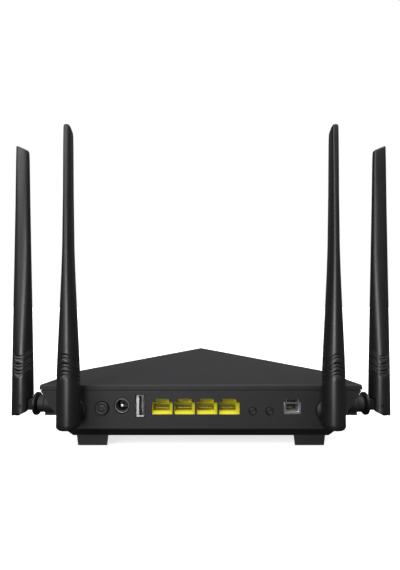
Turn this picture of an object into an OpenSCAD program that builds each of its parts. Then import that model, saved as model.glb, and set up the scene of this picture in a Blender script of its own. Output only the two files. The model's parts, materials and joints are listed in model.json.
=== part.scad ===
// Desktop wireless router with four folding antennas, in millimetres.
// Ports face -Y, the pointed front faces +Y, +Z is up and the feet stand on z = 0.
// Inside the modules y = 0 is the outer face of the rear panel; at_home() moves it into the frame.

/* [Case] */
// Width of the case at the rear top edge
case_w = 202; // [198:1:208]
// Depth of the case from rear panel to front nose
case_d = 128; // [124:1:134]
// Height of the highest point of the top cover
apex_z = 50; // [48:1:54]
// Height of the seam between cover and case
seam_z = 36.5; // [36:0.5:37]
// Height of the case floor above the table
base_z = 6.5; // [6:0.5:7]
// Wall thickness of cover and case
wall = 2.2; // [1.8:0.1:2.6]

/* [Rear panel] */
// Height of the top face of the main board
board_z = 19.4; // [19:0.1:19.6]
// Distance between neighbouring network sockets
lan_pitch = 14; // [13.97:0.01:14.2]
// Centre of the first network socket
lan_x = -24.2; // [-25:0.1:-23.5]
// Centre of the power button
power_x = -61.8; // [-63:0.1:-61]
// Centre of the low-voltage inlet
inlet_x = -49.4; // [-50:0.1:-49]
// Centre of the USB socket
usb_x = -38; // [-38.4:0.1:-37.6]
// Centre of the telephone line socket
line_x = 57.2; // [56.8:0.1:57.6]

/* [Antennas] */
// Height of the antenna tips
tip_z = 195.7; // [180:0.1:210]
// Height of the fold and swivel axes
pivot_z = 24.1; // [24:0.1:24.4]
// Distance from the centre line to a rear antenna
rear_antenna_x = 78.7; // [78:0.1:79.5]
// Distance from the centre line to the outer face of a side antenna boss
side_boss_x = 106.9; // [106:0.1:109]
// Distance of the side antennas forward of the rear panel
side_antenna_y = 16.1; // [16:0.1:18]
// Diameter of an antenna at its foot
sleeve_d = 13.72; // [13.6:0.02:13.8]
// Width of the blade just below the tip
blade_w = 4.2; // [3.6:0.1:4.4]
// Slope of the cut across the tip, in degrees
tip_slope = 23; // [15:1:28]

/* [Moving parts] */
// Stroke of the power button
power_stroke = 2; // [1:0.1:2.2]
// Gap between pieces that move past each other
gap = 0.3; // [0.3:0.05:0.35]
// Radial clearance of a running pin or shank
running = 0.05; // [0.03:0.01:0.08]

/* [Hidden] */
$fn = 48;
eps = 0.01;
slack = 40;                       // how far a cutting tool reaches past the piece it cuts

// ---- antenna: local x runs out from the mounting plane, local y along the fold pin ----
sleeve_c = 11.9;                  // mounting plane to the centre of the sleeve
pin_u = 10.9;                     // mounting plane to the fold pin
pin_r = 1;
pin_half = 5.6;
hub_u = 4.1;                      // outer face of the swivel disc
disc_r = 7.5;
shank_r = 3;
shank_bore_r = 1.1;
boss_end = 5;                     // thickness of the wall that a shank turns in
clip_t = 0.8;
neck_h = 7.6;
neck_w = 6;
neck_bevel = 0.5;
slot_r = neck_h / 2 + gap + 0.05;
sleeve_bottom = 16.7;
sleeve_wall = 1.3;
heel = [[11.9, 17.7], [14.9, 17.65], [18, sleeve_bottom]];  // clears the disc when folded
blade_start = 125;                // above this height the sleeve is a plain blade
blade_full = 40;                  // below this height it has its full width
blade_taper = 0.024;              // millimetres of width for each millimetre down from the tip
blade_flare = 6;
ring_points = 28;
ring_heights = [sleeve_bottom, 24, 31, 38, 45, 52, 60, 68, 76, 84, 92, 101, 110, 118, 126,
    140, 155, 170, 182, 188.5];

// ---- overall box, which places the rear panel in the frame ----
rear_reach = sleeve_c + sleeve_d / 2;
rear_y = -(case_d - rear_reach) / 2;

// ---- case outline: the right half, from the rear corner round to the nose ----
seam_half = [[case_w / 2 - 0.4, 0], [case_w / 2 - 5.4, 34], [60, case_d - 15], [22, case_d]];
floor_half = [[case_w / 2 - 19, 0], [case_w / 2 - 22, 32], [50, case_d - 32], [18, case_d - 20]];
rear_chamfer = [4.5, 6];          // depth and height of the bevel below the rear panel
ridge = [86.6, 34.6, 43];         // where the ridge meets the side
nose = [0, case_d - 13, apex_z];
rim_z = seam_z + 2.3;
lip_z = 39.9;
edge_r = 1;                       // rounding of the cover's upper rim
ridge_r = 1.5;                    // rounding of the ridge and the nose
case_r = 0.8;                     // rounding of the case's outer edges
seam_gap = 0.4;
tongue_t = 1;
tongue_h = 1.5;
boss_r = 6.7;                     // side boss where it leaves the case
boss_nose = 4.6;                  // length of its narrower nose
boss_nose_r = 5.6;

// ---- fixings ----
case_posts = [[79, 30], [-79, 30], [28, 101], [-28, 101]];
board_posts = [[66, 21], [-66, 21], [40, 83], [-40, 83]];
foot_places = [[69, 13], [-69, 13], [38, 88], [-38, 88]];
keyhole_places = [[50, 50], [-50, 50]];
keyhole_r = 4.2;
keyhole_slot_r = 2.2;
post_split_z = 30;
case_screw_r = 1.4;
case_head_r = 2.8;
board_t = 1.6;
foot_pad_t = 1;
foot_lip = 0.4;                   // how far the pads stand below the foot blocks
foot_pad = [12.4, 6.4];
foot_y = -8.5;                    // rear face of a foot, from its place
foot_d = 9;
foot_pad_y = foot_y + foot_d / 2; // middle of a pad
foot_taper = 2.4;                 // how much each side of a foot comes in over its depth

// ---- rear panel ----
lan_count = 4;
lan_window = [12.8, 7.9];
lan_tab = [8.4, 2.1];
lan_z = 21;                       // lowest edge of a network window
lan_front = 1.3;
lan_depth = 19;
power_z = 25.3;
power_cap_r = 4;
power_cap_room = 0.5;             // between the cap and its hole
power_proud = 2.2;
inlet_z = 26.6;
inlet_ring_r = 4.6;
inlet_room = 0.4;
inlet_bore_r = 3.2;
usb_z = 26.6;
usb_size = [5.3, 13.3];
usb_room = 0.4;
usb_depth = 14;
button_places = [32.3, 42.8];
button_z = 23.5;
button_r = 2.1;
button_room = 0.4;
button_proud = 0.9;
cap_chamfer = 0.3;
dish_t = 0.25;
button_stroke = 0.6;
line_z = 21.3;
line_window = [10.7, 7.6];
line_tab = [7.9, 2];
line_wall = 1.1;
line_room = 0.15;
line_depth = 13;

// ---- status lights ----
light_count = 6;
light_pitch = 5;
light_r = 0.9;
nose_fall = atan2(apex_z - rim_z, 13);
light_at = [0, case_d - 13 + 8.5, apex_z - 8.5 * tan(nose_fall)];

black = "#1b1b1d";
dark = "#26262a";

module at_home() translate([0, rear_y, 0]) children();
function sign_pow(v, p) = sign(v) * pow(abs(v), p);
function mix(a, b, k) = a + (b - a) * k;
function clamp01(v) = min(1, max(0, v));

// ================= case =================
function inset(p, t) = [p[0] - t, p[1] + (p[1] < 20 ? t : (p[1] > 60 ? -t : 0))];
function both_sides(half) = concat(half, [for (i = [len(half) - 1 : -1 : 0])
    [-half[i][0], half[i][1]]]);
function case_ring(z, t) = let (k = (z - base_z) / (seam_z - base_z))
    both_sides([for (i = [0 : 3]) inset(mix(floor_half[i], seam_half[i], k), t)]);

module slab(ring, z) translate([0, 0, z]) linear_extrude(eps) polygon(ring);

module round_corner(p, r) translate([p[0], p[1], p[2] - r]) sphere(r = r, $fn = 24);
module sharp_corner(p) translate(p) cube(eps, center = true);

// the outside has rounded lower edges, the hollow (t > 0) has sharp ones
module case_solid(t, top_z) {
    r = t > 0 ? 0 : case_r;
    mid_z = base_z + rear_chamfer[1] + t / 2;
    bevel = [for (p = case_ring(base_z, t + r)) [p[0], p[1] < 20 ? p[1] + rear_chamfer[0] : p[1]]];
    hull() {
        slab(case_ring(top_z, t), top_z - eps);
        if (t > 0) {
            slab(case_ring(mid_z, t), mid_z);
            slab(bevel, base_z + t);
        } else {
            for (p = case_ring(mid_z, r)) round_corner([p[0], p[1], mid_z + r], r);
            for (p = bevel) round_corner([p[0], p[1], base_z + 2 * r], r);
        }
    }
}

function seam_rim(t) = both_sides([for (p = seam_half) inset([p[0] + 0.4, p[1]], t)]);

module cover_solid(t) {
    hull() {
        slab(seam_rim(t), seam_z + seam_gap / 2 - (t > 0 ? 1 : 0));
        slab(seam_rim(t), rim_z - edge_r - t / 2);
        if (t > 0) for (s = [-1, 1]) {
            sharp_corner([s * (case_w / 2 - 2.2 - t), 1 + t, lip_z - t]);
            sharp_corner([s * (ridge[0] - 1.2 * t), ridge[1], ridge[2] - 1.1 * t]);
        } else {
            for (p = seam_rim(edge_r)) round_corner([p[0], p[1], p[1] < 20 ? lip_z : rim_z], edge_r);
            for (s = [-1, 1]) round_corner([s * (ridge[0] - ridge_r), ridge[1], ridge[2]], ridge_r);
        }
        if (t > 0) sharp_corner([0, nose[1] - 1.2 * t, nose[2] - 1.25 * t]);
        else round_corner(nose - [0, ridge_r / 2, 0], ridge_r);
    }
}

// the lights sit square to the flat nose facet
module on_nose() translate(light_at) rotate([-(90 - nose_fall), 0, 0])
    for (i = [0 : light_count - 1]) translate([(i - (light_count - 1) / 2) * light_pitch, 0, 0])
        children();

module top_cover() at_home() color(black) {
    difference() {
        union() {
            difference() {
                cover_solid(0);
                cover_solid(wall);
                // rebate that the case tongue stands in
                translate([0, 0, seam_z - slack]) linear_extrude(slack + tongue_h + 0.3)
                    polygon(both_sides([for (p = seam_half)
                        inset([p[0] + 0.4, p[1]], wall - tongue_t - 0.1)]));
            }
            intersection() {
                cover_solid(0.8);
                for (p = case_posts) translate([p[0], p[1], post_split_z + 0.2]) cylinder(r = 3.4, h = 20);
            }
            for (p = case_posts) translate([p[0], p[1], post_split_z + 0.2]) cylinder(r = 3.4, h = 8);
        }
        for (p = case_posts) translate([p[0], p[1], post_split_z - 1])
            cylinder(r = case_screw_r + 0.05, h = 8);
        on_nose() translate([0, 0, -6]) cylinder(r = light_r + 0.1, h = 12);
    }
}

// ---- cut-outs in the rear panel, all running along +Y from y = -1 ----
module panel_hole(x, z, r) translate([x, -1, z]) rotate([-90, 0, 0]) cylinder(h = wall + 3, r = r);
module window(x, z, w, h, y0 = -1, y1 = 5) translate([x - w / 2, y0, z]) cube([w, y1 - y0, h]);
module lan_window_at(x, y0 = -1, y1 = 5, grow = 0) {
    window(x, lan_z - grow, lan_window[0] + 2 * grow, lan_window[1] + grow, y0, y1);
    window(x, lan_z + 1, lan_tab[0] + 2 * grow, lan_window[1] + lan_tab[1] - 1 + grow, y0, y1);
}
function lan_place(i) = lan_x + i * lan_pitch;
// the line socket's face: a wide window with a narrower slot for the latch above it
module line_outline(grow, y0, y1) {
    window(line_x, line_z - grow, line_window[0] + 2 * grow, line_window[1] + 2 * grow, y0, y1);
    window(line_x, line_z, line_tab[0] + 2 * grow, line_window[1] + line_tab[1] + grow, y0, y1);
}

module keyhole() {
    cylinder(r = keyhole_r, h = wall + 2);
    translate([-keyhole_slot_r, 0, 0]) cube([2 * keyhole_slot_r, 9, wall + 2]);
    translate([0, 9, 0]) cylinder(r = keyhole_slot_r, h = wall + 2);
}

// a foot narrows downwards and towards the front of the case
module foot_slice(z, w) translate([0, foot_y, z]) linear_extrude(eps)
    polygon([[-w / 2, 0], [w / 2, 0], [w / 2 - foot_taper, foot_d], [foot_taper - w / 2, foot_d]]);
module foot_block(z0, z1, w0, w1) hull() {
    foot_slice(z0, w0);
    foot_slice(z1 - eps, w1);
}

// the space of a foot pad, or with some room round it the recess that it sits in
module foot_recess(p, room, h)
    translate([p[0] - foot_pad[0] / 2 - room, p[1] + foot_pad_y - foot_pad[1] / 2 - room, 0])
    cube([foot_pad[0] + 2 * room, foot_pad[1] + 2 * room, h]);

// a boss with a narrower nose, on a foot that widens it where it leaves the case
module side_boss_solid() {
    translate([side_boss_x - 20, side_antenna_y, pivot_z]) rotate([0, 90, 0]) {
        cylinder(r = boss_r, h = 20 - boss_nose);
        translate([0, 0, 20 - boss_nose]) cylinder(r1 = boss_r, r2 = boss_nose_r, h = 1.2);
        cylinder(r = boss_nose_r, h = 20);
    }
    translate([side_boss_x - 20, side_antenna_y - 4.5, pivot_z - boss_r])
        cube([20 - boss_nose, 9, boss_r]);
}

module bottom_case() at_home() color(black) {
    difference() {
        union() {
            difference() {
                union() {
                    case_solid(0, seam_z - seam_gap / 2);
                    for (s = [0, 1]) mirror([s, 0, 0]) side_boss_solid();
                }
                case_solid(wall, seam_z + 1);
                // hollow of each side boss, open to the inside of the case
                for (s = [0, 1]) mirror([s, 0, 0])
                    translate([side_boss_x - 30, side_antenna_y, pivot_z]) rotate([0, 90, 0])
                        cylinder(r = 5.3, h = 30 - boss_end);
            }
            // tongue that centres the cover
            translate([0, 0, seam_z - 3]) linear_extrude(3 + tongue_h) difference() {
                polygon(both_sides([for (p = seam_half) inset(p, wall - tongue_t + 0.2)]));
                polygon(both_sides([for (p = seam_half) inset(p, wall + 0.2)]));
            }
            for (p = case_posts) translate([p[0], p[1], base_z + 0.5])
                cylinder(r = 3.4, h = post_split_z - base_z - 0.5);
            for (p = board_posts) translate([p[0], p[1], base_z + 0.5])
                cylinder(r = 3, h = board_z - board_t - base_z - 0.5);
            // pads behind the rear panel that the rear shanks turn in
            for (s = [-1, 1]) translate([s * rear_antenna_x, 1, pivot_z]) rotate([-90, 0, 0])
                cylinder(r = 6, h = boss_end - 1);
            for (p = foot_places) translate([p[0], p[1], 0])
                foot_block(foot_lip, base_z + 1, 18.6, 20.2);
            // rim round each wall-mount keyhole
            for (p = keyhole_places) translate([p[0], p[1], base_z + 0.5]) cylinder(r = 7, h = wall + 0.3);
        }
        // bores for the antenna shanks
        for (s = [-1, 1]) {
            translate([s * side_boss_x, side_antenna_y, pivot_z]) rotate([0, 90, 0])
                cylinder(r = shank_r + running, h = 30, center = true);
            translate([s * rear_antenna_x, -1, pivot_z]) rotate([-90, 0, 0])
                cylinder(r = shank_r + running, h = 12);
        }
        // posts and screw seats
        for (p = case_posts) translate([p[0], p[1], 0]) {
            cylinder(r = case_screw_r + 0.25, h = slack);
            cylinder(r = case_head_r + 0.2, h = base_z + 2.4);
        }
        for (p = board_posts) translate([p[0], p[1], base_z + 3]) cylinder(r = 1.05, h = slack);
        for (p = keyhole_places) translate([p[0], p[1], base_z - 1]) keyhole();
        for (p = foot_places) foot_recess(p, 0.3, foot_pad_t);
        // cooling slots in the floor
        for (row = [0, 1], i = [-5 : 5]) translate([i * 6 - 1.2, 24 + row * 42, base_z - 1])
            cube([2.4, 26, wall + 2]);
        // rear panel
        for (i = [0 : lan_count - 1]) lan_window_at(lan_place(i));
        window(lan_x + 1.5 * lan_pitch, board_z - 0.2, 4 * lan_pitch + 1.2, 14, lan_front - 0.1, 6);
        panel_hole(power_x, power_z, power_cap_r + power_cap_room);
        panel_hole(inlet_x, inlet_z, inlet_ring_r + inlet_room);
        window(usb_x, usb_z - usb_size[1] / 2 - usb_room, usb_size[0] + 2 * usb_room,
            usb_size[1] + 2 * usb_room);
        for (x = button_places) panel_hole(x, button_z, button_r + button_room);
        line_outline(line_room, -1, 5);
    }
}

module rubber_feet() at_home() color("#121212")
    for (p = foot_places) foot_recess(p, 0, foot_pad_t);

module case_screws() at_home() color("#8c8c90")
    for (p = case_posts) translate([p[0], p[1], base_z + 2.4 - 1.8]) difference() {
        union() {
            cylinder(r = case_head_r, h = 1.8);
            cylinder(r = case_screw_r, h = 28);
        }
        translate([0, 0, -eps]) for (a = [0, 90]) rotate(a) translate([-1.6, -0.4, 0]) cube([3.2, 0.8, 1]);
    }

module rating_plate() at_home() color("#c9cacc")
    translate([-36, 54, base_z - 0.15]) cube([72, 10, 0.15]);

// ================= electronics =================
board_half = [[70, 4], [70, 24], [72, 24], [72, 38], [44, 92]];
module on_board(x, y) translate([x, y, board_z]) children();
module chip(x, y, w, d, h) on_board(x, y) translate([-w / 2, -d / 2, 0]) cube([w, d, h]);

module main_board() at_home() color("#16542e")
    difference() {
        translate([0, 0, board_z - board_t]) linear_extrude(board_t) polygon(both_sides(board_half));
        for (p = board_posts) translate([p[0], p[1], 0]) cylinder(r = 1.6, h = slack);
    }

module board_screws() at_home() color("#a9a9ad")
    for (p = board_posts) translate([p[0], p[1], board_z]) difference() {
        union() {
            cylinder(r = 2.7, h = 1.6);
            translate([0, 0, -7]) cylinder(r = 1, h = 7);
        }
        translate([0, 0, 0.9]) for (a = [0, 90]) rotate(a) translate([-1.5, -0.35, 0]) cube([3, 0.7, 1]);
    }

// a round cap with a collar behind the panel and a stem that reaches the switch
module button(x, z, r, proud, dish_rim, stem_r, stem_end) translate([x, 0, z]) rotate([-90, 0, 0]) {
    collar_y = wall + gap;
    collar_r = r + 1;
    difference() {
        union() {
            translate([0, 0, -proud]) cylinder(r1 = r - cap_chamfer, r2 = r, h = cap_chamfer);
            translate([0, 0, cap_chamfer - proud]) cylinder(r = r, h = proud - cap_chamfer + collar_y);
        }
        translate([0, 0, -proud - 1]) cylinder(r = r - dish_rim, h = 1 + dish_t);
    }
    translate([0, 0, collar_y - eps]) cylinder(r = collar_r, h = 0.9);
    cylinder(r = stem_r, h = stem_end);
}

power_switch_y = 2 * gap + wall + power_stroke + 1;
module power_button() at_home() color(dark)
    button(power_x, power_z, power_cap_r, power_proud, 1.2, 1.5, power_switch_y + 4);

module power_switch() at_home() color("#2d2d30") difference() {
    translate([power_x - 4, power_switch_y, board_z]) cube([8, 12, 10.6]);
    translate([power_x, power_switch_y - 1, power_z]) rotate([-90, 0, 0])
        cylinder(r = 1.5 + gap, h = 5 + gap + power_stroke + 0.7);
}

module power_inlet_body() at_home() color("#202022") difference() {
    union() {
        translate([inlet_x, 0.2, inlet_z]) rotate([-90, 0, 0]) cylinder(r = inlet_ring_r, h = 3.4);
        translate([inlet_x - 4.6, 2.6, board_z]) cube([9.2, 11.4, 11.4]);
    }
    translate([inlet_x, -1, inlet_z]) rotate([-90, 0, 0]) cylinder(r = inlet_bore_r, h = 11);
}

module power_inlet_pin() at_home() color("#c8c4b8")
    translate([inlet_x, 0.4, inlet_z]) rotate([-90, 0, 0]) cylinder(r = 1, h = 9.6);

module usb_shell() at_home() color("#c4c6c9") difference() {
    translate([usb_x - usb_size[0] / 2, 0.3, usb_z - usb_size[1] / 2])
        cube([usb_size[0], usb_depth, usb_size[1]]);
    translate([usb_x - usb_size[0] / 2 + 0.3, -1, usb_z - usb_size[1] / 2 + 0.3])
        cube([usb_size[0] - 0.6, usb_depth, usb_size[1] - 0.6]);
}

usb_tongue_x = usb_x - usb_size[0] / 2 + 0.75;
module usb_tongue() at_home() color("#e8e8e6") {
    translate([usb_tongue_x, 1.1, usb_z - 5.55]) cube([1.84, 9, 11.1]);
    translate([usb_x - usb_size[0] / 2 + 0.3, 10, usb_z - usb_size[1] / 2 + 0.3])
        cube([usb_size[0] - 0.6, 3, usb_size[1] - 0.6]);
}

module usb_contacts() at_home() color("#c9a24a")
    for (z = [-3.5, -1, 1, 3.5]) translate([usb_tongue_x + 1.84, 1.8, usb_z + z - 0.5])
        cube([0.3, 8.2, 1]);

module lan_socket_block() at_home() color("#d9c21d") difference() {
    translate([lan_x - lan_pitch / 2 - 0.3, lan_front, board_z])
        cube([lan_count * lan_pitch + 0.6, lan_depth, 13.4]);
    for (i = [0 : lan_count - 1]) {
        window(lan_place(i), lan_z + 0.9, lan_window[0] - 1, lan_window[1] - 1.1, 0, lan_front + 13);
        window(lan_place(i), lan_z + 1.5, lan_tab[0] - 0.8, lan_window[1] + lan_tab[1] - 2, 0, lan_front + 9);
    }
}

module lan_contacts() at_home() color("#c9a24a")
    for (i = [0 : lan_count - 1], k = [0 : 7])
        translate([lan_place(i) + (k - 3.5) * 1.02 - 0.2, lan_front + 5, lan_z + 0.9])
            cube([0.4, 8, 0.45]);

module lan_magnetics() at_home() color("#1c1c1c") {
    chip(lan_place(0) + lan_pitch / 2, 28, 24, 8, 4);
    chip(lan_place(2) + lan_pitch / 2, 28, 24, 8, 4);
}

tact_y = wall + gap + 4.2;
module wps_button() at_home() color(dark)
    button(button_places[0], button_z, button_r, button_proud, 0.7, 1, tact_y - gap - button_stroke);
module reset_button() at_home() color(dark)
    button(button_places[1], button_z, button_r, button_proud, 0.7, 1, tact_y - gap - button_stroke);

module tact_switches() at_home() color("#2a2a2d")
    for (x = button_places) translate([x - 3, tact_y, board_z]) cube([6, 4.5, 7]);

module line_socket_body() at_home() color("#77797b") difference() {
    union() {
        line_outline(0, 0.4, wall + 2);
        translate([line_x - line_window[0] / 2 - 1, wall + 0.4, board_z])
            cube([line_window[0] + 2, line_depth, line_z + line_window[1] + line_tab[1] + 0.6 - board_z]);
    }
    window(line_x, line_z + line_wall, line_window[0] - 2 * line_wall, line_window[1] - 2 * line_wall, 0, 11);
    window(line_x, line_z + 2, line_tab[0] - 0.6, line_window[1] + line_tab[1] - 2.3, 0, 8);
}

module line_contacts() at_home() color("#c9a24a")
    for (k = [-1.5 : 1.5]) translate([line_x + k * 1.02 - 0.2, 4, line_z + line_wall]) cube([0.4, 7, 0.45]);

module processor() at_home() color("#202022") chip(0, 54, 19, 19, 1.6);

module heat_sink() at_home() color("#9a9ca0") {
    on_board(-14, 40) translate([0, 0, 1.6]) cube([28, 28, 2]);
    for (i = [0 : 6]) on_board(-14, 40) translate([i * 4.4 + 0.2, 0, 3.5]) cube([1.2, 28, 7]);
}

module shield(x, y, w, d) on_board(x - w / 2, y - d / 2) difference() {
    cube([w, d, 3.2]);
    translate([0.3, 0.3, -eps]) cube([w - 0.6, d - 0.6, 2.9]);
}
module radio_shields() at_home() color("#b4b6b8") {
    shield(-44, 52, 26, 24);
    shield(44, 52, 26, 24);
}

module memory_chips() at_home() color("#1e1e20") {
    chip(24, 50, 10, 14, 1.1);
    chip(24, 68, 8, 6, 1.6);
    chip(-24, 72, 9, 9, 1);
}

module power_coils() at_home() color("#3a3a3d") {
    chip(-52, 26, 9, 9, 4.5);
    chip(-41, 27, 7, 7, 4);
}

module capacitors() at_home() color("#3b3550")
    for (p = [[-47, 35.5, 3.1, 9], [32, 30, 2.5, 7], [40, 30, 2.5, 7], [52, 32, 3.1, 9]])
        on_board(p[0], p[1]) cylinder(r = p[2], h = p[3]);

module crystals() at_home() color("#c0c2c4") {
    chip(-22, 52, 3.2, 5, 1);
    chip(22, 78, 3.2, 5, 1);
}

module status_leds() at_home() color("#e8efe2")
    for (i = [0 : light_count - 1])
        chip((i - (light_count - 1) / 2) * light_pitch, 89, 2, 1.3, 0.9);

// a bar under the nose with one short rod for each light
light_bar_z = -5.2;
module light_pipe() at_home() color("#dfe8ea") {
    on_nose() translate([0, 0, light_bar_z]) cylinder(r = light_r, h = -light_bar_z - 0.1);
    translate(light_at) rotate([-(90 - nose_fall), 0, 0])
        translate([-light_count * light_pitch / 2, -1.5, light_bar_z - 2])
            cube([light_count * light_pitch, 3, 2.2]);
}

// ---- antenna leads: swept round wires, each with its own short route ----
socket_places = [[60, 45], [54, 38], [-60, 45], [-54, 38]];
function side_route(s) = [[s * 101, side_antenna_y, pivot_z], [s * 94, side_antenna_y, pivot_z],
    [s * 88, 18, 24.6], [s * 80, 22, 25], [s * 73, 29, 25.2], [s * 67, 37, 25], [s * 61.5, 43.5, 24.2],
    [s * 60, 45, 22.4], [s * 60, 45, 20]];
function rear_route(s) = [[s * rear_antenna_x, 3, pivot_z], [s * rear_antenna_x, 9, pivot_z],
    [s * 76, 13, 24.6], [s * 70, 18, 25.6], [s * 63, 27, 25.6], [s * 56, 36, 24.6], [s * 54, 38, 22.4],
    [s * 54, 38, 20]];
function unit(v) = v / norm(v);
function heading(p, i) = unit(p[min(i + 1, len(p) - 1)] - p[max(i - 1, 0)]);

// side_dir is a level direction that no stretch of the route runs along
module wire(route, d, side_dir) {
    sides = 8;
    last = len(route) - 1;
    pts = [for (i = [0 : last]) let (h = heading(route, i), a = unit(cross(h, side_dir)), b = cross(h, a))
        for (k = [0 : sides - 1]) route[i] + d / 2 * (cos(k * 45) * a + sin(k * 45) * b)];
    skin = [for (i = [0 : last - 1], k = [0 : sides - 1]) let (n = (k + 1) % sides)
        each [[i * sides + k, i * sides + n, (i + 1) * sides + k],
              [i * sides + n, (i + 1) * sides + n, (i + 1) * sides + k]]];
    caps = [[for (k = [sides - 1 : -1 : 0]) k], [for (k = [0 : sides - 1]) last * sides + k]];
    polyhedron(pts, concat(skin, caps));
}

module antenna_sockets() at_home() color("#c9a24a")
    for (p = socket_places) on_board(p[0], p[1]) difference() {
        translate([-1.6, -1.6, 0]) cube([3.2, 3.2, 1]);
        translate([0, 0, 0.4]) cylinder(r = 1, h = 2);
    }

module antenna_leads() at_home() color("#3d3d40")
    for (s = [-1, 1]) {
        wire(side_route(s), 1.3, [1, s, 0]);
        wire(rear_route(s), 1.3, [1, s, 0]);
    }

// ================= antennas =================
// which: 0 left side, 1 right side, 2 left rear, 3 right rear
module at_antenna(which) at_home()
    if (which == 0) translate([-side_boss_x, side_antenna_y, 0]) rotate(180) children();
    else if (which == 1) translate([side_boss_x, side_antenna_y, 0]) children();
    else translate([(which == 2 ? -1 : 1) * rear_antenna_x, 0, 0]) rotate(-90) children();

module along_u(z = pivot_z) translate([0, 0, z]) rotate([0, 90, 0]) children();
module along_pin(half) translate([pin_u, 0, pivot_z]) rotate([90, 0, 0])
    translate([0, 0, -half]) children();

function sleeve_s(z) = (z - sleeve_bottom) / (tip_z - sleeve_bottom);
function sleeve_depth(z) = let (s = sleeve_s(z)) sleeve_d + 0.03 - 4.2 * s - 1.6 * s * s;
function flare(z) = let (q = clamp01((blade_start - z) / (blade_start - blade_full)))
    blade_flare * (q + q * q * (3 - 2 * q)) / 2;
function sleeve_width(z) = min(sleeve_depth(z) + 0.3, blade_w + (tip_z - z) * blade_taper + flare(z));
function squareness(z) = mix(1, 0.8, clamp01((z - 60) / 70)) - 0.25 * clamp01((z - 155) / 30);
function sleeve_ring(z, t, slope) = [for (k = [0 : ring_points - 1]) let (a = k * 360 / ring_points,
    u = (sleeve_depth(z) / 2 - t) * sign_pow(cos(a), squareness(z)))
    [sleeve_c + u, (sleeve_width(z) / 2 - t) * sign_pow(sin(a), squareness(z)),
     z - (sleeve_depth(z) / 2 - u) * slope]];

module loft(rings) {
    m = ring_points;
    last = len(rings) - 1;
    skin = [for (i = [0 : last - 1], k = [0 : m - 1]) let (n = (k + 1) % m)
        each [[i * m + k, (i + 1) * m + k, i * m + n], [i * m + n, (i + 1) * m + k, (i + 1) * m + n]]];
    caps = [[for (k = [0 : m - 1]) k], [for (k = [m - 1 : -1 : 0]) last * m + k]];
    polyhedron([for (r = rings) each r], concat(skin, caps));
}

module sleeve() difference() {
    loft(concat([for (z = ring_heights) sleeve_ring(z, 0, 0)],
        [sleeve_ring(tip_z - 0.7, 0, tan(tip_slope)), sleeve_ring(tip_z, 0.5, tan(tip_slope))]));
    // hollow for the radiator
    loft([for (z = [33 : 12 : 177]) sleeve_ring(z, sleeve_wall, 0)]);
    // slot that the neck swings in, open to the body side and to the bottom
    translate([pin_u - slack, -neck_w / 2 - gap, pivot_z - slack])
        cube([slack + slot_r, neck_w + 2 * gap, slack + slot_r]);
    // cheeks cut back on the body side, and the slanted heel
    translate([0, slack, 0]) rotate([90, 0, 0]) linear_extrude(2 * slack)
        polygon([[0, 33], [5.05, 33], [6.1, 28.5], [7.3, 28.3], [7.3, 19.9], each heel,
            [heel[2][0], 0], [0, 0]]);
    along_pin(slack) cylinder(r = pin_r + 0.02, h = 2 * slack);
    translate([sleeve_c, 0, 27]) cylinder(r = 1.5, h = 8);
}

module neck_section() {
    h = neck_h / 2;
    w = neck_w / 2;
    polygon([for (s = [[1, 1], [-1, 1], [-1, -1], [1, -1]], k = s[0] * s[1] > 0 ? [0, 1] : [1, 0])
        [s[0] * (h - k * neck_bevel), s[1] * (w - (1 - k) * neck_bevel)]]);
}

module swivel() difference() {
    union() {
        along_u() rotate_extrude() polygon([[0, gap], [5.2, gap], [disc_r - 0.3, 1.2], [disc_r, 1.5],
            [disc_r, 2.8], [disc_r - 0.3, 3.1], [4, hub_u], [0, hub_u]]);
        along_u() translate([0, 0, -boss_end - gap - clip_t - 0.9])
            cylinder(r = shank_r, h = boss_end + 2 * gap + clip_t + 1);
        translate([hub_u - 0.5, 0, pivot_z]) rotate([0, 90, 0])
            linear_extrude(pin_u - hub_u + 0.5) neck_section();
        along_pin(neck_w / 2) cylinder(r = neck_h / 2, h = neck_w);
    }
    along_pin(slack) cylinder(r = pin_r + running, h = 2 * slack);
    along_u() translate([0, 0, -12]) cylinder(r = shank_bore_r, h = 19);
    // groove for the retaining clip
    along_u() translate([0, 0, -boss_end - gap - clip_t]) difference() {
        cylinder(r = shank_r + 1, h = clip_t);
        cylinder(r = shank_r - 0.6, h = clip_t);
    }
}

module clip() along_u() translate([0, 0, -boss_end - gap - clip_t]) difference() {
    cylinder(r = shank_r + 1.6, h = clip_t);
    cylinder(r = shank_r - 0.55, h = clip_t * 3, center = true);
    translate([-2, 0, -1]) cube([4, 10, clip_t + 2]);
}

module pin() along_pin(pin_half) cylinder(r = pin_r, h = 2 * pin_half);

module radiator() {
    translate([sleeve_c - 2.6, -0.4, 44]) cube([5.2, 0.8, 128]);
    translate([sleeve_c - 1.2, -1.6, 37]) cube([2.4, 3.2, 9]);
}

// ================= what is drawn =================
top_cover();
bottom_case();
rubber_feet();
case_screws();
rating_plate();
main_board();
board_screws();
power_button();
power_switch();
power_inlet_body();
power_inlet_pin();
usb_shell();
usb_tongue();
usb_contacts();
lan_socket_block();
lan_contacts();
lan_magnetics();
wps_button();
reset_button();
tact_switches();
line_socket_body();
line_contacts();
processor();
heat_sink();
radio_shields();
memory_chips();
power_coils();
capacitors();
crystals();
status_leds();
light_pipe();
antenna_sockets();
antenna_leads();
places = ["left_side", "right_side", "left_rear", "right_rear"];
for (i = [0 : 3]) {
    at_antenna(i) color(black) swivel();
    at_antenna(i) color("#9a9ca0") clip();
    at_antenna(i) color("#9a9ca0") pin();
    at_antenna(i) color(black) sleeve();
    at_antenna(i) color("#b07a2c") radiator();
}
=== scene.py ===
"""Desktop wireless router with four folding antennas: the looks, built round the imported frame.

Metres, in the CAD frame: ports face -Y, the pointed front faces +Y, +Z is up, feet on z = 0.
"""
import json
import math

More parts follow.
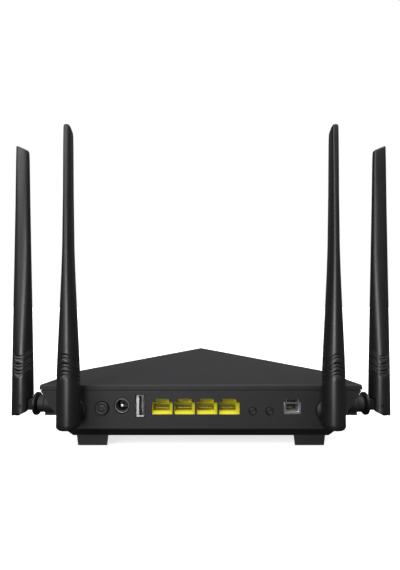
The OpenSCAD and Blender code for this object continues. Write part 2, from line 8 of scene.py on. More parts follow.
import bmesh
import bpy
from mathutils import Matrix, Vector


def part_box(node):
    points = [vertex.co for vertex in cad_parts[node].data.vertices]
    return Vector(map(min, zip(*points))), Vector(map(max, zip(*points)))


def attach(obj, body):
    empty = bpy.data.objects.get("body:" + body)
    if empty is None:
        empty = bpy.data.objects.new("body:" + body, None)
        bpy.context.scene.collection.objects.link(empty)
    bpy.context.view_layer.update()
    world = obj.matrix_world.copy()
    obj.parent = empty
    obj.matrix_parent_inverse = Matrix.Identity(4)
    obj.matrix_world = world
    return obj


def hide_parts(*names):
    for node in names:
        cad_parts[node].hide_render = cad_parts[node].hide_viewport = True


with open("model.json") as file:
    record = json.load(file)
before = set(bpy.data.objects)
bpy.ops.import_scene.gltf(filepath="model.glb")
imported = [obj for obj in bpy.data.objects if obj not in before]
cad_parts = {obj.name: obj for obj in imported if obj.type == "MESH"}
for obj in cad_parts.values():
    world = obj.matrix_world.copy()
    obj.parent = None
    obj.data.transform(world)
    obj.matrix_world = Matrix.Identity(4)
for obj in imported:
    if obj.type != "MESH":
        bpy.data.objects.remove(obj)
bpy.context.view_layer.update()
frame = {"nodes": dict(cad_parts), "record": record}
MM = 0.001
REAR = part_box("top_cover")[0].y          # outer face of the rear panel
PLACES = ["left_side", "right_side", "left_rear", "right_rear"]      # the four antennas


# ================= materials =================
FINISHES = {}                            # the Blender material of each of the record's slots


def new_material(slot):
    """Makes a slot's node material; gives its tree, its shader, and a node that gives metres in the frame."""
    mat = bpy.data.materials.new(slot + "_look")
    FINISHES[slot] = mat
    mat.use_nodes = True
    tree = mat.node_tree
    shader = next(n for n in tree.nodes if n.type == "BSDF_PRINCIPLED")
    place = tree.nodes.new("ShaderNodeTexCoord")
    return tree, shader, place


def noise(tree, place, grain, detail=2.0, stretch=(1, 1, 1)):
    """Noise whose blobs are about `grain` metres across."""
    scale = tree.nodes.new("ShaderNodeMapping")
    scale.inputs["Scale"].default_value = [s / grain for s in stretch]
    tree.links.new(place.outputs["Object"], scale.inputs["Vector"])
    node = tree.nodes.new("ShaderNodeTexNoise")
    node.inputs["Scale"].default_value = 1.0
    node.inputs["Detail"].default_value = detail
    tree.links.new(scale.outputs["Vector"], node.inputs["Vector"])
    return node


def ranged(tree, value, start, end, low, high):
    """Maps a value that runs from `start` to `end` to one that runs from `low` to `high`."""
    node = tree.nodes.new("ShaderNodeMapRange")
    for name, number in (("From Min", start), ("From Max", end), ("To Min", low), ("To Max", high)):
        node.inputs[name].default_value = number
    tree.links.new(value, node.inputs["Value"])
    return node.outputs["Result"]


def spread(tree, source, low, high, socket):
    """Plugs a noise into a shader socket as `low` to `high`; most of a noise lies between 0.3 and 0.7."""
    tree.links.new(ranged(tree, source.outputs["Fac"], 0.3, 0.7, low, high), socket)


def tint(tree, source, colour, change, shader):
    """Colour that wanders a little round `colour`."""
    blend = tree.nodes.new("ShaderNodeMix")
    blend.data_type = "RGBA"
    blend.inputs["A"].default_value = [*[c * (1 - change) for c in colour], 1]
    blend.inputs["B"].default_value = [*[min(1, c * (1 + change)) for c in colour], 1]
    tree.links.new(source.outputs["Fac"], blend.inputs["Factor"])
    tree.links.new(blend.outputs["Result"], shader.inputs["Base Color"])


def bump(tree, source, height, shader):
    """Raises the surface by a noise, up to `height` metres."""
    node = tree.nodes.new("ShaderNodeBump")
    node.inputs["Strength"].default_value = 1.0
    node.inputs["Distance"].default_value = height
    tree.links.new(source.outputs["Fac"], node.inputs["Height"])
    tree.links.new(node.outputs["Normal"], shader.inputs["Normal"])


def moulded(name, colour, rough, grain=0.35, depth=0.012, specular=0.5, change=0.06, coat=0.0, clear=0.0):
    """Moulded plastic or rubber: a fine texture of `grain` mm, and slow changes of gloss and tone."""
    tree, shader, place = new_material(name)
    fine = noise(tree, place, grain * MM, 3.0)
    slow = noise(tree, place, 18 * MM)
    spread(tree, slow, rough - 0.03, rough + 0.03, shader.inputs["Roughness"])
    tint(tree, slow, colour, change, shader)
    bump(tree, fine, depth * MM, shader)
    shader.inputs["Specular IOR Level"].default_value = specular
    shader.inputs["Coat Weight"].default_value = coat
    shader.inputs["Coat Roughness"].default_value = 0.25
    shader.inputs["Transmission Weight"].default_value = clear


def metal(name, colour, rough, stretch=(1, 1, 1), grain=0.4, depth=0.004):
    """Plated, rolled or turned metal, with its marks drawn out along one axis."""
    tree, shader, place = new_material(name)
    marks = noise(tree, place, grain * MM, 4.0, stretch)
    slow = noise(tree, place, 6 * MM)
    spread(tree, marks, rough - 0.06, rough + 0.08, shader.inputs["Roughness"])
    tint(tree, slow, colour, 0.06, shader)
    bump(tree, marks, depth * MM, shader)
    shader.inputs["Metallic"].default_value = 1.0


moulded("case_plastic", (0.022, 0.022, 0.024), 0.56, grain=0.45, depth=0.02, specular=0.36)
moulded("antenna_plastic", (0.012, 0.012, 0.013), 0.38, grain=0.25, depth=0.006)
moulded("swivel_plastic", (0.009, 0.009, 0.010), 0.45, grain=0.25, depth=0.006, specular=0.3)
moulded("button_plastic", (0.020, 0.020, 0.022), 0.46, grain=0.3, depth=0.008, specular=0.36)
moulded("foot_rubber", (0.010, 0.010, 0.010), 0.85, grain=0.5, depth=0.03, specular=0.2)
moulded("switch_plastic", (0.025, 0.025, 0.027), 0.5)
moulded("lan_yellow", (0.92, 0.84, 0.03), 0.45, grain=0.6, depth=0.006, specular=0.25)
moulded("line_grey", (0.23, 0.233, 0.24), 0.28, grain=0.5, depth=0.006, coat=0.3)
moulded("usb_white", (0.92, 0.92, 0.90), 0.4, grain=0.3, depth=0.005)
moulded("label_foil", (0.62, 0.62, 0.63), 0.4, grain=1.5, depth=0.004)
moulded("board_green", (0.02, 0.13, 0.055), 0.3, grain=1.2, depth=0.01, coat=0.4, change=0.25)
moulded("chip_black", (0.022, 0.022, 0.022), 0.55, grain=0.2, depth=0.01)
moulded("capacitor_sleeve", (0.035, 0.03, 0.07), 0.3)
moulded("led_white", (0.8, 0.82, 0.78), 0.35)
moulded("light_pipe_clear", (0.8, 0.84, 0.86), 0.25, clear=0.5)
moulded("lead_jacket", (0.04, 0.04, 0.045), 0.45, grain=0.3)
metal("screw_steel", (0.58, 0.58, 0.6), 0.32)
metal("plated_metal", (0.60, 0.60, 0.62), 0.32, stretch=(1, 0.15, 1))
metal("gold_contact", (0.34, 0.27, 0.05), 0.5)
metal("heat_sink_aluminium", (0.62, 0.62, 0.64), 0.4, stretch=(1, 0.05, 1))
metal("radiator_brass", (0.7, 0.44, 0.17), 0.4)


def finish_cad_nodes():
    """Each CAD node takes the material of its slot in the record."""
    for part in frame["record"]["subparts"]:
        node = frame["nodes"][part["node"]]
        material = FINISHES[part["material_slot"]]
        if not node.material_slots:
            node.data.materials.append(material)
        for slot in node.material_slots:
            slot.material = material


# ================= camera, floor and light =================
CAMERA_BACK = 0.2375                     # from the rear panel to the camera
CAMERA_HEIGHT = 0.0894
LENS_SHIFT = (-0.00175439, 0.03578947)   # right and up, in parts of the picture's longer side


def set_camera():
    """Level camera close behind the router, a little below the antennas' middle height."""
    cam = bpy.data.objects.new("camera", bpy.data.cameras.new("camera"))
    bpy.context.scene.collection.objects.link(cam)
    cam.location = (0, REAR - CAMERA_BACK, CAMERA_HEIGHT)
    cam.rotation_euler = (math.radians(90), 0, 0)
    cam.data.lens = 24.0
    cam.data.sensor_width = 36.0
    cam.data.shift_x, cam.data.shift_y = LENS_SHIFT
    cam.data.clip_start = 0.01
    bpy.context.scene.camera = cam


def direction(azimuth, elevation):
    """Unit vector towards a light; azimuth 0 is behind the ports, negative is to the left."""
    a, e = math.radians(azimuth), math.radians(elevation)
    return Vector((math.sin(a) * math.cos(e), -math.cos(a) * math.cos(e), math.sin(e)))


def add_light(name, kind, away, energy):
    """Adds a light that shines from the direction `away` and isn't seen itself."""
    light = bpy.data.lights.new(name, kind)
    light.energy = energy
    lamp = bpy.data.objects.new(name, light)
    bpy.context.scene.collection.objects.link(lamp)
    lamp.rotation_euler = away.to_track_quat("Z", "Y").to_euler()
    lamp.visible_camera = False
    return lamp


def sky_light(name, azimuth, elevation, irradiance, softness):
    """A large, far softbox."""
    lamp = add_light(name, "SUN", direction(azimuth, elevation), irradiance)
    lamp.data.angle = math.radians(softness)


def softbox(name, azimuth, height, distance, width, tall, power):
    """A near, level softbox that shows in gloss only, as the bright stripes down the antennas."""
    away = direction(azimuth, 0)
    lamp = add_light(name, "AREA", away, power)
    lamp.data.shape = "RECTANGLE"
    lamp.data.size, lamp.data.size_y = width, tall
    lamp.location = Vector((0, REAR, height)) + away * distance
    lamp.visible_diffuse = False


def set_world():
    """White behind the object; for the object itself a dim room, darker below than above."""
    world = bpy.data.worlds.new("studio")
    bpy.context.scene.world = world
    world.use_nodes = True
    tree = world.node_tree
    room = tree.nodes["Background"]
    where = tree.nodes.new("ShaderNodeTexCoord")
    split = tree.nodes.new("ShaderNodeSeparateXYZ")
    tree.links.new(where.outputs["Generated"], split.inputs["Vector"])
    # its strength rises from 0.04 to 0.20 across the horizon
    tree.links.new(ranged(tree, split.outputs["Z"], -0.35, 0.25, 0.04, 0.20), room.inputs["Strength"])
    room.inputs["Color"].default_value = (1, 1, 1, 1)
    white = tree.nodes.new("ShaderNodeBackground")
    white.inputs["Color"].default_value = (1, 1, 1, 1)
    ray = tree.nodes.new("ShaderNodeLightPath")
    choose = tree.nodes.new("ShaderNodeMixShader")
    tree.links.new(ray.outputs["Is Camera Ray"], choose.inputs["Fac"])
    tree.links.new(room.outputs["Background"], choose.inputs[1])
    tree.links.new(white.outputs["Background"], choose.inputs[2])
    tree.links.new(choose.outputs["Shader"], tree.nodes["World Output"].inputs["Surface"])
    bpy.context.scene.view_settings.view_transform = "Standard"


def set_floor():
    """Pale paper floor, bright enough that only a faint shadow shows."""
    bpy.ops.mesh.primitive_plane_add(size=40)
    floor = bpy.context.object
    floor.name = "floor"
    floor.location.z = -0.0003           # just below the foot pads, so that no two faces coincide
    tree, shader, place = new_material("floor_paper")
    tint(tree, noise(tree, place, 0.4), (0.92, 0.92, 0.92), 0.01, shader)
    shader.inputs["Roughness"].default_value = 0.9
    shader.inputs["Specular IOR Level"].default_value = 0.1
    shader.inputs["Emission Color"].default_value = (1, 1, 1, 1)
    shader.inputs["Emission Strength"].default_value = 0.75
    floor.data.materials.append(FINISHES["floor_paper"])
    floor.visible_diffuse = False
    floor.visible_glossy = False


def set_lights():
    """A key light from the upper left, a softer one overhead, and the antennas' stripe."""
    sky_light("key", azimuth=-34, elevation=30, irradiance=1.2, softness=34)
    sky_light("top", azimuth=40, elevation=70, irradiance=2.6, softness=60)
    softbox("stripe", azimuth=-9, height=0.06, distance=0.62, width=0.20, tall=0.30, power=2.7)


set_camera()
set_world()
set_floor()
set_lights()
finish_cad_nodes()


# ================= shapes =================
def at(x, y, z):
    """A point in millimetres: x from the middle, y forward of the rear panel, z above the table."""
    return Vector((x * MM, REAR + y * MM, z * MM))


def extent(node):
    """A node's box in millimetres, measured as at() measures: x0, x1, y0, y1, z0, z1."""
    low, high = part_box(node)
    return low.x / MM, high.x / MM, (low.y - REAR) / MM, (high.y - REAR) / MM, low.z / MM, high.z / MM


def place_of(node):
    """Middle of a node's box, in the same millimetres."""
    low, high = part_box(node)
    middle = (low + high) / 2
    return Vector((middle.x / MM, (middle.y - REAR) / MM, middle.z / MM))


def clamp(k):
    """Keeps a number between 0 and 1."""
    return min(1.0, max(0.0, k))


def mix(a, b, k):
    """The number that lies the part k of the way from a to b."""
    return a + (b - a) * k


def ease(k):
    """Smooth step from 0 to 1."""
    k = clamp(k)
    return k * k * (3 - 2 * k)


def circle(steps):
    """Equal angles round a circle."""
    return [2 * math.pi * k / steps for k in range(steps)]


def rounded_box_outline(x0, x1, y0, y1, radius, steps=5):
    """Corner-rounded rectangle, as points in the plane of its two axes."""
    points = []
    corners = [(x1 - radius, y1 - radius, 0), (x0 + radius, y1 - radius, 90), (x0 + radius, y0 + radius, 180),
               (x1 - radius, y0 + radius, 270)]
    for cx, cy, turn in corners:
        for k in range(steps + 1):
            a = math.radians(turn + 90 * k / steps)
            points.append((cx + radius * math.cos(a), cy + radius * math.sin(a)))
    return points


def block(bm, x0, x1, y0, y1, z0, z1):
    """Adds a box between two corners."""
    corners = [bm.verts.new(at(x, y, z)) for z in (z0, z1) for y in (y0, y1) for x in (x0, x1)]
    for face in ((0, 2, 3, 1), (4, 5, 7, 6), (0, 1, 5, 4), (2, 6, 7, 3), (0, 4, 6, 2), (1, 3, 7, 5)):
        bm.faces.new([corners[k] for k in face])


def bridge(bm, first, second):
    """Joins two rings of vertices with a band of faces; a ring may be a single vertex."""
    count = max(len(first), len(second))
    first, second = (ring * count if len(ring) == 1 else ring for ring in (first, second))
    for k in range(count):
        n = (k + 1) % count
        bm.faces.new(list(dict.fromkeys((first[k], first[n], second[n], second[k]))))


def bands(bm, rings):
    """Adds rings of points and the bands between them, and gives back the rings' vertices."""
    rings = [[bm.verts.new(point) for point in ring] for ring in rings]
    for first, second in zip(rings, rings[1:]):
        bridge(bm, first, second)
    return rings


def loft(bm, rings):
    """Adds a solid through rings of points, with a face at either end."""
    rings = bands(bm, rings)
    bm.faces.new(rings[0][::-1])
    bm.faces.new(rings[-1])


def prism(bm, sections, x):
    """Adds a solid that runs along Y through its sections, each an (x, z) outline and its y."""
    loft(bm, [[at(x + px, y, pz) for px, pz in outline] for outline, y in sections])


def slab(bm, outline, z0, z1):
    """Adds a solid with an (x, y) outline that stands along Z."""
    loft(bm, [[at(x, y, z) for x, y in outline] for z in (z0, z1)])


def turned(bm, x, z, profile, segments=72):
    """Adds a shape turned about a line along Y and gives its rings; the profile is (radius, y)."""
    return bands(bm, [[at(x + radius * math.cos(a), y, z + radius * math.sin(a))
                       for a in (circle(segments) if radius else [0])] for radius, y in profile])


def holder(bm):
    """A short-lived object for a bmesh solid."""
    bmesh.ops.recalc_face_normals(bm, faces=bm.faces)
    mesh = bpy.data.meshes.new("work")
    bm.to_mesh(mesh)
    bm.free()
    obj = bpy.data.objects.new("work", mesh)
    bpy.context.scene.collection.objects.link(obj)
    return obj


def shaped(solid, cutters=(), joins=(), bevel=0.0):
    """Joins solids on, cuts others out, rounds the sharp edges and gives back the mesh."""
    work = holder(solid)
    tools = []
    for operation, solids in (("UNION", joins), ("DIFFERENCE", cutters)):
        for other in solids:
            tools.append(holder(other))
            step = work.modifiers.new("step", "BOOLEAN")
            step.operation = operation
            step.object = tools[-1]
            step.solver = "EXACT"
    if bevel:
        edge = work.modifiers.new("edge", "BEVEL")
        edge.width = bevel * MM
        edge.segments = 2
        edge.limit_method = "ANGLE"
        edge.angle_limit = math.radians(35)
        edge.miter_outer = "MITER_ARC"
    graph = bpy.context.evaluated_depsgraph_get()
    mesh = bpy.data.meshes.new_from_object(work.evaluated_get(graph))
    for obj in (work, *tools):
        data = obj.data
        bpy.data.objects.remove(obj)
        bpy.data.meshes.remove(data)
    return mesh


def piece(name, mesh, body, slot, *nodes, crease=32):
    """Shows a mesh as a piece that rides on a body and stands for the given CAD nodes."""
    obj = bpy.data.objects.new(name, mesh)
    bpy.context.scene.collection.objects.link(obj)
    mesh.materials.clear()
    mesh.materials.append(FINISHES[slot])
    mesh.shade_smooth()
    mesh.set_sharp_from_angle(angle=math.radians(crease))
    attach(obj, body)
    if nodes:
        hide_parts(*nodes)


# ================= antennas =================
# An antenna's own millimetres: u outward from the mounting plane, v along the fold pin, z above the table.
PIN_U = 10.9
PIVOT_Z = place_of("left_side_pin").z
PIN_SHORT = 2.2              # each end of the pin lies this far inside the CAD pin's
PIN_HOLE = 1.03              # radius
KNUCKLE_ROOM = 4.15          # from the pin's axis to the end of the neck's slot
NECK_ROOM = 3.3              # half the slot's width
SLEEVE_C = 11.9              # mounting plane to the middle of the sleeve
SLEEVE_BOTTOM = 16.7
SLEEVE_DEPTH = 13.75         # along u, at the bottom
SLEEVE_WALL = 1.3
HEEL_LIFT = 1.0              # the heel's inner part is this much higher than its outer edge
HEEL_SLOPE = (14.9, 18.0)    # where it comes down, outwards
TIP_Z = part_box("left_side_sleeve")[1].z / MM + 0.21      # once rounded, the tip ends inside the node's box
TIP_WIDTH = 4.2              # along v
TIP_SLOPE = math.tan(math.radians(23))
GROOVE_PAIRS = [59.9, 54.6, 50.2]        # height of each pair's middle
GROOVE_HALF = 0.88           # from the middle of a pair to each groove
GROOVE_DROP = 4.8            # how far the grooves dip from the outer face to the flanks
GROOVE_CUT = [(-0.34, 0), (-0.2, 0.15), (0, 0.2), (0.2, 0.15), (0.34, 0)]      # (height, depth)


def sleeve_section(z):
    """Half depth, half width and squareness of the sleeve: thick and oval, then thin and square."""
    s = (z - SLEEVE_BOTTOM) / (TIP_Z - SLEEVE_BOTTOM)
    depth = SLEEVE_DEPTH - 4.2 * s - 1.6 * s * s
    swell = clamp((125 - z) / 85)        # nothing at 125 mm above the table, full at 40 mm
    width = min(depth + 0.3, TIP_WIDTH + (TIP_Z - z) * 0.024 + 3 * (swell + ease(swell)))
    square = mix(1, 0.8, clamp((z - 60) / 70)) - 0.25 * clamp((z - 155) / 30)
    return depth / 2, width / 2, square


def sleeve_point(z, a, inset):
    """Point (u, v) of the sleeve's section, from its middle, at a height and an angle."""
    half_depth, half_width, square = sleeve_section(z)
    c, s = math.cos(a), math.sin(a)
    return ((half_depth - inset) * math.copysign(abs(c) ** square, c),
            (half_width - inset) * math.copysign(abs(s) ** square, s))


def sleeve_ring(height, inset, slope=0.0, lift=0.0):
    """One ring of the sleeve; near the grooves it dips towards the flanks as they do."""
    # the dip grows from 33 to 48 mm above the table and is gone again at 85 mm
    dip = GROOVE_DROP * ease((height - 33) / 15) * (1 - ease((height - 62) / 23))
    ring = []
    for a in circle(80):
        z = height - dip * math.sin(a) ** 2
        u, v = sleeve_point(z, a, inset)
        slant = (sleeve_section(z)[0] - u) * slope
        inner = clamp((HEEL_SLOPE[1] - SLEEVE_C - u) / (HEEL_SLOPE[1] - HEEL_SLOPE[0]))
        ring.append((SLEEVE_C + u, v, z - slant + lift * inner))
    return ring


def sleeve_solid():
    """Outside of the sleeve with its six shallow grooves, a slanted tip and rounded ends."""
    heel = [(0, 0.45), (0.13, 0.18), (0.45, 0)]
    middle = [(z, 0) for z in range(20, 48, 2)]
    for pair in reversed(GROOVE_PAIRS):
        for line in (pair - GROOVE_HALF, pair + GROOVE_HALF):
            middle += [(line + step, deep) for step, deep in GROOVE_CUT]
    middle += [(z, 0) for z in range(62, 189, 3)]
    tip = [(1.7, 0), (0.9, 0.05), (0.45, 0.15), (0.18, 0.32), (0.04, 0.55), (0, 0.8)]
    bm = bmesh.new()
    rings = bands(bm, [*[sleeve_ring(SLEEVE_BOTTOM + high, inset, lift=HEEL_LIFT) for high, inset in heel],
                       *[sleeve_ring(z, inset) for z, inset in middle],
                       *[sleeve_ring(TIP_Z - low, inset, slope=TIP_SLOPE) for low, inset in tip]])
    # the heel isn't flat, so it is closed by strips across it
    low = rings[0]
    for k in range(len(low) // 2):
        near, far = (low[k], low[k + 1]), (low[-k - 1], low[-k])
        bm.faces.new(list(dict.fromkeys((*near, *far)))[::-1])
    bm.faces.new(rings[-1])
    return bm


def pin_rings(places):
    """Rings about the fold pin's axis, each given as (v, radius)."""
    return [[(PIN_U + radius * math.cos(a), v, PIVOT_Z + radius * math.sin(a)) for a in circle(40)]
            for v, radius in places]


def sleeve_cutters():
    """What is taken out of the sleeve: neck slot, slanted heel, pin hole and the radiator's hollow."""
    slot, heel, hole, hollow = (bmesh.new() for _ in range(4))
    reach = 30                           # well past the sleeve
    u0, u1 = PIN_U - reach, PIN_U + KNUCKLE_ROOM
    loft(slot, [[(u0, -NECK_ROOM, z), (u1, -NECK_ROOM, z), (u1, NECK_ROOM, z), (u0, NECK_ROOM, z)]
                for z in (PIVOT_Z - reach, PIVOT_Z + KNUCKLE_ROOM)])
    side = [(0, 33), (5.05, 33), (6.1, 28.5), (7.3, 28.3), (7.3, 19.9),
            (SLEEVE_C, SLEEVE_BOTTOM + HEEL_LIFT - 0.05), (SLEEVE_C, 0), (0, 0)]
    loft(heel, [[(u, v, z) for u, z in side] for v in (-reach, reach)])
    loft(hole, pin_rings([(-reach, PIN_HOLE), (reach, PIN_HOLE)]))
    loft(hollow, [[(SLEEVE_C + u, v, z) for u, v in [sleeve_point(z, a, SLEEVE_WALL) for a in circle(32)]]
                  for z in range(36, 178, 6)])
    return [slot, heel, hole, hollow]


def antenna_matrix(place):
    """From an antenna's own millimetres to the frame."""
    pin = sum(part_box(place + "_pin"), Vector()) / 2
    out = {"left_side": Vector((-1, 0, 0)), "right_side": Vector((1, 0, 0))}.get(place, Vector((0, -1, 0)))
    along = Vector((-out.y, out.x, 0))
    matrix = Matrix.Identity(4)
    for column, axis in enumerate((out, along, Vector((0, 0, 1)))):
        for row in range(3):
            matrix[row][column] = axis[row] * MM
    matrix.translation = Vector((pin.x, pin.y, 0)) - out * PIN_U * MM
    return matrix


def make_pins():
    """Fold pins whose rounded ends lie below the sleeve's face."""
    end = [(0, 0.6), (0.12, 0.85), (0.35, 0.98)]
    for place in PLACES:
        low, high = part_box(place + "_pin")
        half = max(high.x - low.x, high.y - low.y) / 2 / MM - PIN_SHORT
        bm = bmesh.new()
        loft(bm, pin_rings([*[(-half + step, radius) for step, radius in end],
                            *[(half - step, radius) for step, radius in reversed(end)]]))
        mesh = shaped(bm)
        mesh.transform(antenna_matrix(place))
        piece(place + "_fold_pin", mesh, place + "_antenna", "screw_steel", place + "_pin", crease=50)


def make_antennas():
    """The four sleeves, which have one shape."""
    sleeve = shaped(sleeve_solid(), sleeve_cutters())
    for place in PLACES:
        mesh = sleeve.copy()
        mesh.transform(antenna_matrix(place))
        piece(place + "_grooved_sleeve", mesh, place + "_antenna", "antenna_plastic", place + "_sleeve",
              crease=50)
    bpy.data.meshes.remove(sleeve)


# ================= push buttons =================
def round_button(name, radius, proud, dish, collar, stem):
    """A cap with a rounded rim, a shallow dish and a raised ring in it, on a collar and a stem."""
    node = name + "_button"
    spot, back, face = place_of(node), extent(node)[3], -proud
    profile = [(0, back), (stem - 0.1, back), (stem, back - 0.1), (stem, 3.4), (collar, 3.4), (collar, 2.5),
               (radius, 2.5), (radius, face + 0.35), (radius - 0.06, face + 0.16),
               (radius - 0.18, face + 0.04), (radius - 0.36, face), (dish + 0.12, face), (dish, face + 0.06),
               (dish - 0.16, face + 0.22), (dish * 0.62, face + 0.25), (dish * 0.55, face + 0.16),
               (dish * 0.42, face + 0.12), (dish * 0.3, face + 0.17), (0, face + 0.2)]
    bm = bmesh.new()
    turned(bm, spot.x, spot.z, profile)
    piece(name + "_cap", shaped(bm), node, "button_plastic", node, crease=40)


def make_buttons():
    """The power button and the two small ones."""
    round_button("power", radius=4, proud=1.6, dish=2.8, collar=5, stem=1.5)
    for name in ("wps", "reset"):
        round_button(name, radius=2.1, proud=0.9, dish=1.4, collar=3.1, stem=1)


# ================= low-voltage inlet =================
def make_inlet():
    """Barrel with its bore and a grey lip that paints the highlight on the barrel's rounded rim, the centre
    pin, and the leaf that presses on the plug.
    """
    spot = place_of("power_inlet_pin")
    x0, x1, _, y1, z0, _ = extent("power_inlet_body")
    rear, barrel, bore, lip, pin, leaf = (bmesh.new() for _ in range(6))
    block(rear, x0, x1, 2.6, y1, z0, spot.z + 4.2)
    turned(barrel, spot.x, spot.z, [(0, 3.6), (4.6, 3.6), (4.6, 0.75), (4.5, 0.6), (0, 0.6)])
    turned(bore, spot.x, spot.z, [(0, 10), (3.2, 10), (3.2, 1.9), (3.3, 1.7), (4.02, 1.0), (4.1, 0), (0, 0)])
    piece("power_inlet_barrel", shaped(rear, [bore], [barrel], bevel=0.06), "case", "switch_plastic",
          "power_inlet_body")

    # ring round the barrel's mouth: its shape is the real rounded rim, its grey colour is a painted highlight
    # for the light that rim catches on black plastic
    rings = turned(lip, spot.x, spot.z, [(4.02, 0.9), (4.0, 0.35), (4.08, 0.22), (4.24, 0.17), (4.4, 0.22),
                                         (4.5, 0.38), (4.52, 0.9)])
    bridge(lip, rings[-1], rings[0])
    piece("power_inlet_painted_highlight_lip", shaped(lip), "case", "line_grey", crease=60)

    nose = [(0, 10.4), (1, 10.4), (1, 0.75), (0.96, 0.55), (0.85, 0.42), (0.6, 0.36), (0, 0.34)]
    turned(pin, spot.x, spot.z, nose, 40)
    piece("power_inlet_contact", shaped(pin), "case", "plated_metal", "power_inlet_pin", crease=60)

    strip = [(3.16, 2.2), (2.62, 3.8), (2.54, 4.4), (2.9, 7), (2.78, 7), (2.4, 4.4), (2.48, 3.7), (3.04, 2.1)]
    loft(leaf, [[at(spot.x + radius * math.cos(a), y, spot.z + radius * math.sin(a)) for radius, y in strip]
                for a in map(math.radians, range(20, 96, 5))])
    piece("power_inlet_spring", shaped(leaf), "case", "plated_metal", crease=40)


# ================= USB socket =================
USB_CONTACTS = (-3.5, -1, 1, 3.5)        # their heights about the socket's middle


def make_usb():
    """Formed shell with its sprung leaves, the tongue, and four contacts in a slotted black sheet whose dark
    colour paints the shade on the tongue's contact side.
    """
    x0, x1, y0, y1, z0, z1 = extent("usb_shell")
    middle = (z0 + z1) / 2
    sheet, lip = 0.3, 0.5                # the mouth opens out along the bottom and on the contacts' side

    def loop(step, turned_in, radius, y):
        """Outline of the shell: `step` inside its box, and further in on the two sides with the lip."""
        across, up = (x0 + step, x1 - step - turned_in), (z0 + step + turned_in, z1 - step)
        return [at(x, y, z) for x, z in rounded_box_outline(*across, *up, radius)]

    shell = bmesh.new()
    loft(shell, [loop(0, lip, 0.5, y1), loop(0, lip, 0.5, y0 + 1.2), loop(0, 0, 0.6, y0 + 0.3),
                 loop(0, 0, 0.6, y0 + 0.12), loop(0.07, 0, 0.6, y0), loop(0.2, 0, 0.5, y0 + 0.03),
                 loop(sheet, lip, 0.3, y0 + 1), loop(sheet, lip, 0.3, y1 - sheet)])
    # two sprung leaves pressed in from the wall across from the tongue
    wall_x = x1 - sheet - lip
    press = [(0, 1.6), (0.3, 3.2), (0.35, 4), (0.2, 5.4), (0.06, 5.4), (0.2, 4), (0.15, 3.3), (-0.14, 1.8)]
    for z in (middle - 3.1, middle + 3.1):
        loft(shell, [[at(wall_x - into, y, z + edge) for into, y in press] for edge in (-1, 1)])
    piece("usb_formed_shell", shaped(shell, bevel=0.05), "case", "plated_metal", "usb_shell")

    tongue_x, _, _, base_y, _, _ = extent("usb_tongue")
    left = tongue_x - 0.15
    tongue = bmesh.new()
    block(tongue, left, left + 1.55, 1.1, base_y - 2, middle - 5.75, middle + 5.75)
    block(tongue, x0 + 0.35, x1 - 0.85, base_y - 3, base_y, z0 + 0.85, z1 - 0.35)
    piece("usb_moulded_tongue", shaped(tongue, bevel=0.12), "case", "usb_white", "usb_tongue")

    # black sheet along the white tongue's contact side, slotted for the contacts: partly a real contact
    # carrier, and its black colour is painted shade for the shadow that side lies in
    painted_shade_part, grooves, strips = bmesh.new(), bmesh.new(), bmesh.new()
    block(painted_shade_part, left + 1.5, left + 1.88, 1.25, base_y - 3.1, middle - 5.3, middle + 5.3)
    path = [(1.62, 1.7), (1.78, 2.2), (2.14, 5.2), (1.78, 8.2), (1.62, 9.8), (1.5, 9.8), (1.62, 8.1),
            (1.96, 5.2), (1.62, 2.3), (1.48, 1.9)]
    for z in USB_CONTACTS:
        block(grooves, left + 1.62, left + 3, 0, base_y - 3.3, middle + z - 0.62, middle + z + 0.62)
        loft(strips, [[at(left + x, y, middle + z + edge) for x, y in path] for edge in (-0.5, 0.5)])
    piece("usb_contacts_and_painted_shade_sheet", shaped(painted_shade_part, [grooves], bevel=0.05), "case", "switch_plastic")
    piece("usb_contact_strips", shaped(strips), "case", "gold_contact", "usb_contacts")


# ================= network and telephone sockets =================
LAN_COUNT = 4
LAN_PITCH = 14
CONTACT_PITCH = 1.02


def t_outline(half, tab, z0, z1, z2):
    """A window with a narrower slot for the plug's latch above it."""
    return [(-half, z0), (half, z0), (half, z1), (tab, z1), (tab, z2), (-tab, z2), (-tab, z1), (-half, z1)]


def contact_row(bm, x, z, y, count, wide):
    """Sprung contact wires: hooked at the front, falling towards the back of a socket."""
    path = [(0, 0), (0.05, 0.8), (0.4, 1.2), (1, 1.3), (8.2, -0.4), (8.2, -0.75), (1, 0.95), (0.65, 0.85),
            (0.4, 0.6), (0.35, 0)]
    for k in range(count):
        cx = x + (k - (count - 1) / 2) * CONTACT_PITCH
        loft(bm, [[at(cx + edge, y + py, z + pz) for py, pz in path] for edge in (-wide / 2, wide / 2)])


